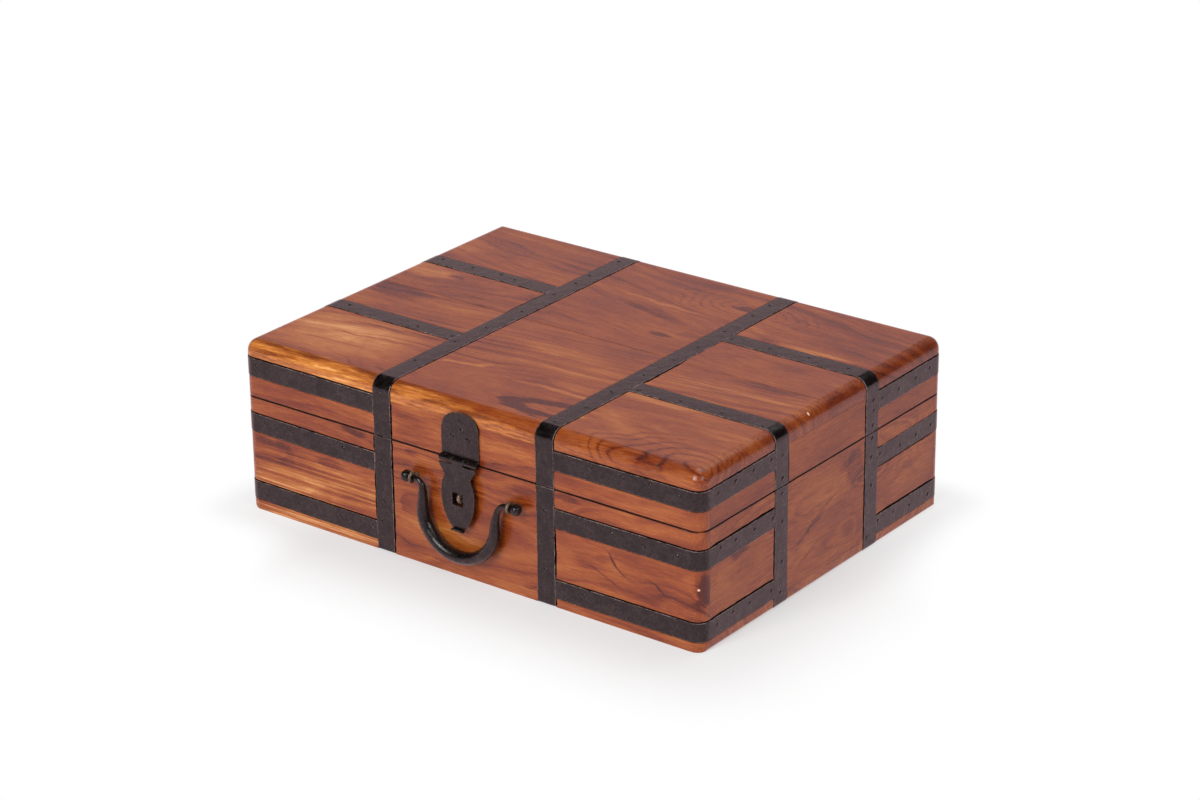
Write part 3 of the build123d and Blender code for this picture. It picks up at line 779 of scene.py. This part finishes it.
# %% [markdown]
# ## Dressed boards
# A plane leaves a fine bevel, the arris, on every edge, and a chisel leaves the lips of a groove
# a little ragged, so a dark open line of uneven width runs beside each strap. The CAD boards
# have knife edges. On a copy of each board the lips are cut into short runs, moved at random,
# and then bevelled with the other edges. The grooves' walls and floors are painted near-black,
# a painted shade that deepens the open line. A displaced surface would need far more faces for
# the same ragged lips.

# %% Find the grooves and their lips
LIP_RUN = 4.0  # length of one run of a ragged lip
LIP_OFF = 0.3  # least that a lip moves away from its strap
RAGGED = 0.8  # how far a lip wanders beyond that
LIP_WAVES = (0.21, 0.9)  # slow and quick waves of a lip, to a millimetre
ON_SKIN = 0.06  # an edge this shallow lies on the skin
ABOVE_SKIN = -0.1  # no point of a groove stands out more than this
LEAST_DEPTH = 0.2  # of the middle of a groove's face
DEEPEST = GROOVE_DEPTH + 0.2
FOOT_LIP = 1.0  # the mouths of the grooves under the box are lower than this and stay sharp


def in_groove(face):
    """True for a groove's floor and walls."""
    reach = [depth(vert.co / MM) for vert in face.verts]
    middle = face.calc_center_median() / MM
    at_mitre = (middle.x < ROUND - LENGTH / 2 and middle.y > DEPTH / 2 - ROUND
                and middle.z > HEIGHT - ROUND)
    return (max(reach) < DEEPEST and LEAST_DEPTH < depth(middle) < DEEPEST
            and min(reach) > ABOVE_SKIN and not at_mitre)


def on_skin(edge):
    return len(edge.link_faces) == 2 and all(depth(vert.co / MM) < ON_SKIN for vert in edge.verts)


def at_groove(edge):
    return edge.link_faces[0].tag != edge.link_faces[1].tag


def lips_of(bm):
    """Edges between the skin and a groove."""
    return [edge for edge in bm.edges if on_skin(edge) and at_groove(edge)
            and max(vert.co.z for vert in edge.verts) > FOOT_LIP * MM]


print("a groove's face lies", LEAST_DEPTH, "to", round(DEEPEST, 1), "mm deep")

# %% Move the lips


def wander(bm, lips):
    """Cuts long lips into short runs and moves the new points away from the groove."""
    for edge in lips:
        cuts = int(edge.calc_length() / MM / LIP_RUN)
        if not cuts:
            continue
        wall, skin = edge.link_faces
        if skin.tag:
            wall, skin = skin, wall
        start, end = (vert.co for vert in edge.verts)
        side = (end - start).normalized().cross(skin.normal)
        if side.dot(wall.calc_center_median() - (start + end) / 2) > 0:
            side.negate()
        made = bmesh.ops.subdivide_edges(bm, edges=[edge], cuts=cuts)
        for vert in made["geom_inner"]:
            if isinstance(vert, bmesh.types.BMVert):
                slow, quick = (abs(noise.noise(vert.co / MM * waves)) for waves in LIP_WAVES)
                vert.co += side * (LIP_OFF + (slow + 0.5 * quick) * RAGGED) * MM


print("a lip moves at least", LIP_OFF, "mm")

# %% Bevel the edges and dress every board
LIP_BEVEL = 0.35
SEAM_BEVEL = 0.5
JOINT_BEVEL = 0.25
SEAM = (87.55, 88.25)  # the base's rim and the lid's rim
AT_SEAM = 0.1


def bevelled(bm, edges, width):
    """Bevels edges to a small round, and returns what the operator made."""
    return bmesh.ops.bevel(bm, geom=edges, offset=width * MM, offset_type="OFFSET", segments=2,
                           profile=0.5, affect="EDGES", clamp_overlap=True, material=-1)


def along_seam(edge):
    return all(min(abs(vert.co.z / MM - rim) for rim in SEAM) < AT_SEAM for vert in edge.verts)


def dressed_board(node):
    """A board with ragged lips, fine bevels and painted shade in its grooves."""
    bm = merged(node)
    for face in bm.faces:
        face.tag = in_groove(face)
        face.material_index = int(face.tag)
    wander(bm, lips_of(bm))
    bm.normal_update()
    lips = lips_of(bm)
    sharp = [edge for edge in bm.edges
             if on_skin(edge) and not at_groove(edge) and edge.calc_face_angle(0) > CREASE]
    seam = [edge for edge in sharp if along_seam(edge)]
    joints = [edge for edge in sharp if not along_seam(edge)]
    for edges, width in ((seam, SEAM_BEVEL), (joints, JOINT_BEVEL), (lips, LIP_BEVEL)):
        edges = [edge for edge in edges if edge.is_valid]
        if edges:
            bevelled(bm, edges, width)
    return stand_in(node, bm, "_dressed", wood[node], groove_shade)


for board in BOARDS:
    piece = dressed_board(board)
    print(piece.name, len(piece.data.polygons), "faces")

# %% [markdown]
# ## Filed iron
# Sheared strip has burrs that are filed off and then wear pale and round. Every strap, the plate
# and the leaf of the hasp are copied, merged, and bevelled along every sharp edge, and the
# bevels take the worn finish. The handle is a round bar without sharp edges, so its copy is only
# merged.

# %% Bevel the straps and the hasp
STRAP_EDGE = 0.35  # width of a filed edge
HASP_EDGE = 0.2


def filed(node, finish, width=0):
    """A copy of an iron piece, with its sharp edges filed round and worn."""
    bm = merged(node)
    if width:
        sharp = [edge for edge in bm.edges
                 if len(edge.link_faces) == 2 and edge.calc_face_angle(0) > CREASE]
        for face in bevelled(bm, sharp, width)["faces"]:
            face.material_index = 1
    return stand_in(node, bm, "_filed", finish, worn_edge)


straps = [name for name in sorted(nodes) if name.endswith("strap") or "_band_" in name]
for name in straps:
    filed(name, strap_iron, STRAP_EDGE)
filed("hasp_plate", hasp_iron, HASP_EDGE)
filed("hasp_leaf", hasp_iron, HASP_EDGE)
filed("handle", forged_iron)
print(len(straps), "straps and bands, the hasp and the handle are filed")

# %% [markdown]
# ## Nails
# The straps are held by small cut nails with low domed heads, set by eye, so their spacing
# wanders. Each head is a squashed sphere, sunk until only a low cap shows. The places are
# written out, because no even spacing gives the look of a hand. All the heads on the lid are one
# piece and all those on the base another, because they move with their own body.

# %% Where the nails are
NAIL_TOP = [
    (-184.9, 58.3), (-155.4, 58), (-129.2, 59.1), (-114, 56.3), (-180.7, -52.9), (-113.6, -56),
    (-81.6, -56), (-74.4, -106.1), (-73.7, -62.6), (-71.9, -29.6), (-70.7, 9.4), (-72.9, 49.7),
    (-73.3, 76.7), (-74.3, 95.1), (-74.5, 131.7), (70.4, -134.3), (72.6, -102.5), (72.5, -72.2),
    (70.1, -70.5), (71.5, -34.4), (71.7, -0.5), (72.2, 28.1), (69.5, 63.7), (69.1, 100),
    (68.2, 123.8), (83.3, -58), (118, -56.4), (153.2, -57.5), (187.8, -59.3), (81.9, 54.8),
    (114.3, 56.3), (145.6, 57.7), (178.4, 57.6)]
NAIL_FRONT = [
    (110, 111.8), (136.3, 111.6), (158.9, 111.7), (181.8, 110), (126.8, 68.6), (153.2, 66.3),
    (180, 66.8), (102.9, 15.2), (128.9, 16.8), (179.5, 14.2), (-187.2, 112.2), (-111.4, 113),
    (-83.9, 114.4), (-181, 68.9), (-156.5, 69.2), (-108.2, 69.1), (-81.9, 67.4), (-184.1, 12.7),
    (-152.7, 13.4), (-112.9, 14.8), (-82.5, 15.9), (-73.2, 119), (-72.1, 68.4), (-71.7, 37.9),
    (-73.6, 21.4), (71, 69.2), (70.7, 25.5)]
NAIL_END = [
    (-54.6, 110.4), (-54.2, 93.5), (-55.2, 82.7), (-54.1, 61.9), (-54.1, 32), (-55.6, 9),
    (56.8, 111.9), (57.1, 103.9), (56.9, 93), (56.1, 83.5), (55.2, 69.6), (56.1, 47.8),
    (51.6, 9), (-128.7, 110.5), (-109.2, 112), (-88.4, 111.9), (-67.6, 111.8), (-125.9, 69.8),
    (-108.4, 69.4), (-86.6, 68.3), (-64.7, 68), (-129.4, 15.4), (-111.3, 16.9), (-91.7, 16),
    (-65.9, 14.7), (68.6, 109), (89.2, 108.9), (111, 110.2), (129.7, 111), (66.6, 67.9),
    (92.9, 64.9), (113.5, 65.5), (132.9, 66), (65.9, 17), (85.7, 16.1), (107.2, 13.2),
    (131.3, 12.4)]
PROUD = 0.3  # how far a strap stands out of the wood
BACK_SHARE = 0.985  # the back's nails sit this much nearer the middle than the front's
NAIL_STRAY = 0.8  # how far the left end's nails stray from the right end's
hand = random.Random(4)

heads = [(Vector((x, y, HEIGHT + PROUD)), Vector((0, 0, 1))) for x, y in NAIL_TOP]
heads += [(Vector((x, -DEPTH / 2 - PROUD, z)), Vector((0, -1, 0))) for x, z in NAIL_FRONT]
heads += [(Vector((x * BACK_SHARE, DEPTH / 2 + PROUD, z)), Vector((0, 1, 0)))
          for x, z in NAIL_FRONT]
heads += [(Vector((LENGTH / 2 + PROUD, y, z)), Vector((1, 0, 0))) for y, z in NAIL_END]
heads += [(Vector((-LENGTH / 2 - PROUD, y + hand.uniform(-NAIL_STRAY, NAIL_STRAY), z)),
           Vector((-1, 0, 0))) for y, z in NAIL_END]
print(len(heads), "nails")

# %% Make the heads
NAIL_R = 2.1  # of the whole squashed sphere
NAIL_SIZES = (0.85, 1.1)  # the shares of that radius that are met
NAIL_ROUND = (0.85, 1.0)  # a head's width, as a share of its length
NAIL_DOME = 1.0  # half its thickness
NAIL_SUNK = 0.5  # how far its middle lies under the strap's face
NAIL_LEAN = 0.12  # how much a head may slope


def add_head(bm, spot, out):
    """A low domed head that leans a little and faces out of the strap."""
    radius = NAIL_R * hand.uniform(*NAIL_SIZES) * MM
    lean = Vector((hand.uniform(-NAIL_LEAN, NAIL_LEAN), hand.uniform(-NAIL_LEAN, NAIL_LEAN), 1))
    turn = out.to_track_quat("Z", "Y").to_matrix() @ lean.to_track_quat("Z", "Y").to_matrix()
    squash = Matrix.Diagonal((radius, radius * hand.uniform(*NAIL_ROUND), NAIL_DOME * MM, 1))
    place = Matrix.Translation((spot - out * NAIL_SUNK) * MM) @ turn.to_4x4() @ squash
    bmesh.ops.create_uvsphere(bm, u_segments=10, v_segments=6, radius=1, matrix=place)


lid_heads = [(spot, out) for spot, out in heads if spot.z > SEAM[1]]
base_heads = [(spot, out) for spot, out in heads if spot.z < SEAM[0]]
for body, chosen in (("lid", lid_heads), ("base", base_heads)):
    bm = bmesh.new()
    for spot, out in chosen:
        add_head(bm, spot, out)
    for face in bm.faces:
        face.smooth = True
    nails = piece_from(bm, "strap_nails_" + body, strap_iron)
    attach(nails, body)
    print(len(chosen), "nails in the", body)

# %% [markdown]
# ## Floor
# The box stands on a pale sheet that runs out of sight. Near the box the sheet keeps the shadow
# that the lamps give it. Farther out it glows a little for the camera, so that it runs into a
# white background without an edge. Behind the box and past its left end the glow is painted
# stronger, so the shadow fades sooner there. Polished things see the sheet as a nearly white
# one.

# %% Make the floor
FLOOR_SIZE = 40  # metres
SHADOW_FADES = (0.02, 0.11)  # distance from the box, in metres
# These two ranges say where the floor's glow is painted stronger, which thins the shadow.
BACK_BRIGHTENS = (-0.03, 0.14)  # where the screen's light thins the shadow, along y
LEFT_BRIGHTENS = (0.11, 0.18)  # the same at the left end, along -x
GLOW_NEAR = 0.42  # how much of the sheet glows at the foot of the box
GLOW_THIN = 0.25  # added to that where the shadow is thin
THIN_FADES = 1.5  # how much sooner a thin shadow fades
ROOM_TINT = (1.0, 0.70, 0.74, 1.0)  # what polished things see of the room
SHEET_SEEN = (0.70, 0.68, 0.68, 1)
SHEET = (0.9, 0.89, 0.89, 1)

f = Finish(bpy.data.materials.new("pale_floor"))
x, y, z = f.parts(f.node("TexCoord", out="Object"))
beyond_x = (x.size() - LENGTH / 2 * MM).at_least(0.0)
beyond_y = (y.size() - DEPTH / 2 * MM).at_least(0.0)
away = (beyond_x * beyond_x + beyond_y * beyond_y) ** 0.5
thin = y.between(*BACK_BRIGHTENS).at_least((0 - x).between(*LEFT_BRIGHTENS))
far = (away * (1 + thin * THIN_FADES)).between(*SHADOW_FADES)
near = GLOW_NEAR + thin * GLOW_THIN
seen = f.node("LightPath", out="Is Camera Ray")
mirrored = f.node("LightPath", out="Is Glossy Ray")
lit = f.node("BsdfDiffuse", {}, {"Color": f.mix(seen, SHEET, SHEET_SEEN)})
glow = f.node("Emission", {}, {
    "Color": f.mix(mirrored, WHITE, ROOM_TINT), "Strength": 1 + mirrored * 0.14})
share = seen * (near + far * (1 - near)) + mirrored * 0.95
f.node("OutputMaterial", {}, {"Surface": f.node("MixShader", {}, {0: share, 1: lit, 2: glow})})

bm = bmesh.new()
bmesh.ops.create_grid(bm, x_segments=1, y_segments=1, size=FLOOR_SIZE / 2)
floor = piece_from(bm, "floor", f.owner)
print("the floor is", FLOOR_SIZE, "m wide")

# %% [markdown]
# ## Surroundings
# A dark room with one white screen behind the object makes a good studio for polished things.
# Flat lids mirror the screen as a soft grey sheen, and rounded edges mirror the dark room, so
# they stay deep in colour. The camera sees plain white. The screen ends at a height, and only
# its own sector of the room is white. A picture of a real room would do too, but it couldn't be
# tuned.

# %% Make the surroundings
BEHIND = (-0.607, 0.795)  # direction of the screen, seen from the box
SCREEN_TOP = (0.42, 0.50)  # it ends between these heights, as the sine of the angle up
SCREEN_SIDE = (0.50, 0.72)  # and starts between these, as the cosine of the angle from BEHIND
ROOM_DARK = 0.004
SCREEN_WHITE = 0.86
AMBIENT = 0.40  # the plain light that reaches every surface from all round
NOT_ZERO = 0.0001  # keeps the division sound straight up

world = bpy.data.worlds.new("studio")
bpy.context.scene.world = world
w = Finish(world)
x, y, z = w.parts(w.node("TexCoord", out="Generated"))
toward = (x * BEHIND[0] + y * BEHIND[1]) / ((x * x + y * y) ** 0.5 + NOT_ZERO)
screen = toward.between(*SCREEN_SIDE) * (1 - z.between(*SCREEN_TOP))
mirror = ROOM_DARK + screen * (SCREEN_WHITE - ROOM_DARK)
seen = w.node("LightPath", out="Is Camera Ray")
through = w.node("LightPath", out="Is Transmission Ray")
mirrored = w.node("LightPath", out="Is Glossy Ray")
plain = AMBIENT + (1 - AMBIENT) * (seen + through)
strength = plain + mirrored * (mirror - plain)
sky = w.node("Background", {}, {
    "Color": w.mix(mirrored, WHITE, ROOM_TINT), "Strength": strength})
w.node("OutputWorld", {}, {"Surface": sky})
print("the room gives", AMBIENT, "of plain light")

# %% [markdown]
# ## Lamps
# Three square soft boxes: a wide one overhead, a key in front that throws the short shadows
# behind the handle and the hasp, and a weaker one on the right for the end of the box. Each is
# set by the light that it gives a surface facing it, so a lamp can be moved or resized without a
# new sum.

# %% Hang the lamps
LAMP_AIM = Vector((0, 0, 0.06))  # the middle of the box, in metres


def soft_box(name, azimuth, elevation, distance, size, light):
    """A square lamp facing the box. light is what it gives a surface that faces it."""
    a, e = math.radians(azimuth), math.radians(elevation)
    away = Vector((math.sin(a) * math.cos(e), -math.cos(a) * math.cos(e), math.sin(e)))
    lamp = bpy.data.lights.new(name, "AREA")
    lamp.size = size
    solid_angle = size * size / distance ** 2
    lamp.energy = light * math.pi * size * size * math.pi / solid_angle
    hung = bpy.data.objects.new(name, lamp)
    bpy.context.scene.collection.objects.link(hung)
    facing = away.to_track_quat("Z", "Y").to_matrix().to_4x4()
    hung.matrix_world = Matrix.Translation(away * distance + LAMP_AIM) @ facing
    print(name, "gives", round(lamp.energy, 2), "watts")


soft_box("overhead", 180, 68, 1.9, 1.5, 0.45)
soft_box("front_key", 2, 32, 2.2, 0.95, 0.78)
soft_box("right_fill", 75, 30, 2.6, 0.5, 0.2)

# %% [markdown]
# ## The view
# The standard view shows each colour about as it was written.

# %% The view
bpy.context.scene.view_settings.view_transform = "Standard"
